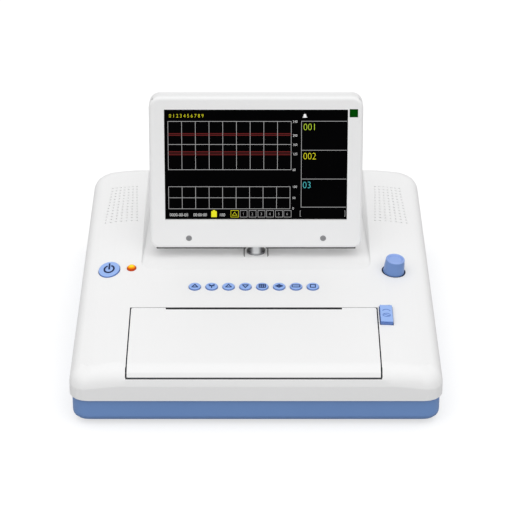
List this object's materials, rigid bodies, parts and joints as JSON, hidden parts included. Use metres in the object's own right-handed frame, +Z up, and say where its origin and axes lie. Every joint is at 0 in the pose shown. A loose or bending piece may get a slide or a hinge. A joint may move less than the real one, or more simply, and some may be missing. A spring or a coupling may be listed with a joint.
{
  "type": "cardiotocograph",
  "caption": "Desk fetal monitor with a tilting flat display, a front paper-printer door, press keys, a control knob, speakers and side probe sockets.",
  "frame": {"origin": "middle of the case's outline, on the plane that the four feet stand on", "axes": "+Z up, +Y from the front to the rear, +X to the user's right"},
  "size_m": [0.2994, 0.314, 0.203],
  "materials": {
    "white_shell": "fine satin moulded white plastic",
    "blue_shell": "satin moulded light blue plastic",
    "blue_key": "smooth light blue plastic",
    "grey_hinge": "glossy grey plastic",
    "grey_plastic": "matt grey plastic",
    "black_plastic": "matt black plastic",
    "screen_glass": "dark display glass",
    "panel_frame": "pressed metal frame of the display panel",
    "green_window": "dark green translucent window",
    "amber_lens": "clear amber lens",
    "foot_rubber": "matt black rubber",
    "roller_rubber": "ground black rubber",
    "plain_steel": "plain zinc-plated steel",
    "circuit_board": "green circuit board",
    "chart_paper": "fan-folded chart paper",
    "gear_plastic": "off-white gear plastic",
    "battery_wrap": "blue shrink wrap"
  },
  "bodies": {
    "root": {"lower_case": "blue_shell", "upper_case": "white_shell", "foot_1": "foot_rubber", "foot_2": "foot_rubber", "foot_3": "foot_rubber", "foot_4": "foot_rubber", "battery_cover": "blue_shell", "battery_pack": "battery_wrap", "main_board": "circuit_board", "key_board": "circuit_board", "speaker_left": "black_plastic", "speaker_right": "black_plastic", "encoder_body": "grey_plastic", "alarm_lamp": "amber_lens", "hinge_neck": "grey_hinge", "hinge_cover": "white_shell", "probe_socket_1": "grey_plastic", "probe_socket_2": "grey_plastic", "probe_socket_3": "grey_plastic", "probe_socket_4": "grey_plastic", "dc_inlet": "black_plastic", "lan_port": "plain_steel", "usb_port": "plain_steel", "side_panel": "grey_plastic", "rear_panel": "grey_plastic", "ground_post": "plain_steel", "paper_tray": "grey_plastic", "paper_pack": "chart_paper", "printer_frame": "plain_steel", "print_head": "black_plastic", "stepper_motor": "plain_steel"},
    "display": {"display_bezel": "white_shell", "display_rear_cover": "white_shell", "display_glass": "screen_glass", "lcd_module": "panel_frame", "hinge_bracket": "plain_steel", "hinge_shaft": "plain_steel", "status_window": "green_window", "bezel_screw_left": "plain_steel", "bezel_screw_right": "plain_steel"},
    "door": {"paper_door": "white_shell", "door_rod": "plain_steel"},
    "platen": {"platen_roller": "roller_rubber", "platen_shaft": "plain_steel", "platen_gear": "gear_plastic"},
    "idler": {"idler_gear": "gear_plastic"},
    "pinion": {"motor_pinion": "gear_plastic"},
    "power": {"power_button": "blue_key"},
    "key_a": {"key_1": "blue_key"},
    "key_b": {"key_2": "blue_key"},
    "key_c": {"key_3": "blue_key"},
    "key_d": {"key_4": "blue_key"},
    "key_e": {"key_5": "blue_key"},
    "key_f": {"key_6": "blue_key"},
    "key_g": {"key_7": "blue_key"},
    "key_h": {"key_8": "blue_key"},
    "release": {"release_button": "blue_key"},
    "lever": {"release_lever": "plain_steel"},
    "plunger": {"encoder_plunger": "plain_steel"},
    "dial": {"knob": "blue_key"}
  },
  "joints": [
    {"name": "display_tilt", "type": "hinge", "parent": "root", "child": "display", "pos_m": [0, 0.0225, 0.0835], "axis": [1, 0, 0], "range_deg": [-80, 10]},
    {"name": "door_open", "type": "hinge", "parent": "root", "child": "door", "pos_m": [0, -0.151, 0.0464], "axis": [1, 0, 0], "range_deg": [0, 95]},
    {"name": "platen_spin", "type": "hinge", "parent": "door", "child": "platen", "pos_m": [0, -0.077, 0.049], "axis": [1, 0, 0], "continuous": true},
    {"name": "idler_spin", "type": "hinge", "parent": "root", "child": "idler", "pos_m": [0, -0.0767, 0.03285], "axis": [1, 0, 0], "continuous": true},
    {"name": "pinion_spin", "type": "hinge", "parent": "root", "child": "pinion", "pos_m": [0, -0.06255, 0.02946], "axis": [1, 0, 0], "continuous": true},
    {"name": "power_press", "type": "slide", "parent": "root", "child": "power", "axis": [0.13, 0.0921, -0.9872], "range_m": [0, 0.0012], "stiffness_N_per_m": 900},
    {"name": "key_1_press", "type": "slide", "parent": "root", "child": "key_a", "axis": [0, 0.0929, -0.9957], "range_m": [0, 0.001], "stiffness_N_per_m": 800},
    {"name": "key_2_press", "type": "slide", "parent": "root", "child": "key_b", "axis": [0, 0.0929, -0.9957], "range_m": [0, 0.001], "stiffness_N_per_m": 800},
    {"name": "key_3_press", "type": "slide", "parent": "root", "child": "key_c", "axis": [0, 0.0929, -0.9957], "range_m": [0, 0.001], "stiffness_N_per_m": 800},
    {"name": "key_4_press", "type": "slide", "parent": "root", "child": "key_d", "axis": [0, 0.0929, -0.9957], "range_m": [0, 0.001], "stiffness_N_per_m": 800},
    {"name": "key_5_press", "type": "slide", "parent": "root", "child": "key_e", "axis": [0, 0.0929, -0.9957], "range_m": [0, 0.001], "stiffness_N_per_m": 800},
    {"name": "key_6_press", "type": "slide", "parent": "root", "child": "key_f", "axis": [0, 0.0929, -0.9957], "range_m": [0, 0.001], "stiffness_N_per_m": 800},
    {"name": "key_7_press", "type": "slide", "parent": "root", "child": "key_g", "axis": [0, 0.0929, -0.9957], "range_m": [0, 0.001], "stiffness_N_per_m": 800},
    {"name": "key_8_press", "type": "slide", "parent": "root", "child": "key_h", "axis": [0, 0.0929, -0.9957], "range_m": [0, 0.001], "stiffness_N_per_m": 800},
    {"name": "release_press", "type": "slide", "parent": "root", "child": "release", "axis": [-0.044, 0.0928, -0.9947], "range_m": [0, 0.0025], "stiffness_N_per_m": 600},
    {"name": "lever_turn", "type": "hinge", "parent": "root", "child": "lever", "pos_m": [0.1, -0.0825, 0.0428], "axis": [1, 0, 0], "range_deg": [0, 22]},
    {"name": "knob_push", "type": "slide", "parent": "root", "child": "plunger", "axis": [-0.091, 0.0925, -0.9915], "range_m": [0, 0.0008], "stiffness_N_per_m": 900},
    {"name": "knob_turn", "type": "hinge", "parent": "plunger", "child": "dial", "pos_m": [0.1162, -0.01212, 0.06403], "axis": [0.091, -0.0925, 0.9915], "continuous": true}
  ],
  "couplings": [
    {"joint": "idler_spin", "follows": "platen_spin", "ratio": -0.66667},
    {"joint": "pinion_spin", "follows": "platen_spin", "ratio": 1.3333},
    {"joint": "lever_turn", "follows": "release_press", "rad_per_m": 143.88}
  ]
}
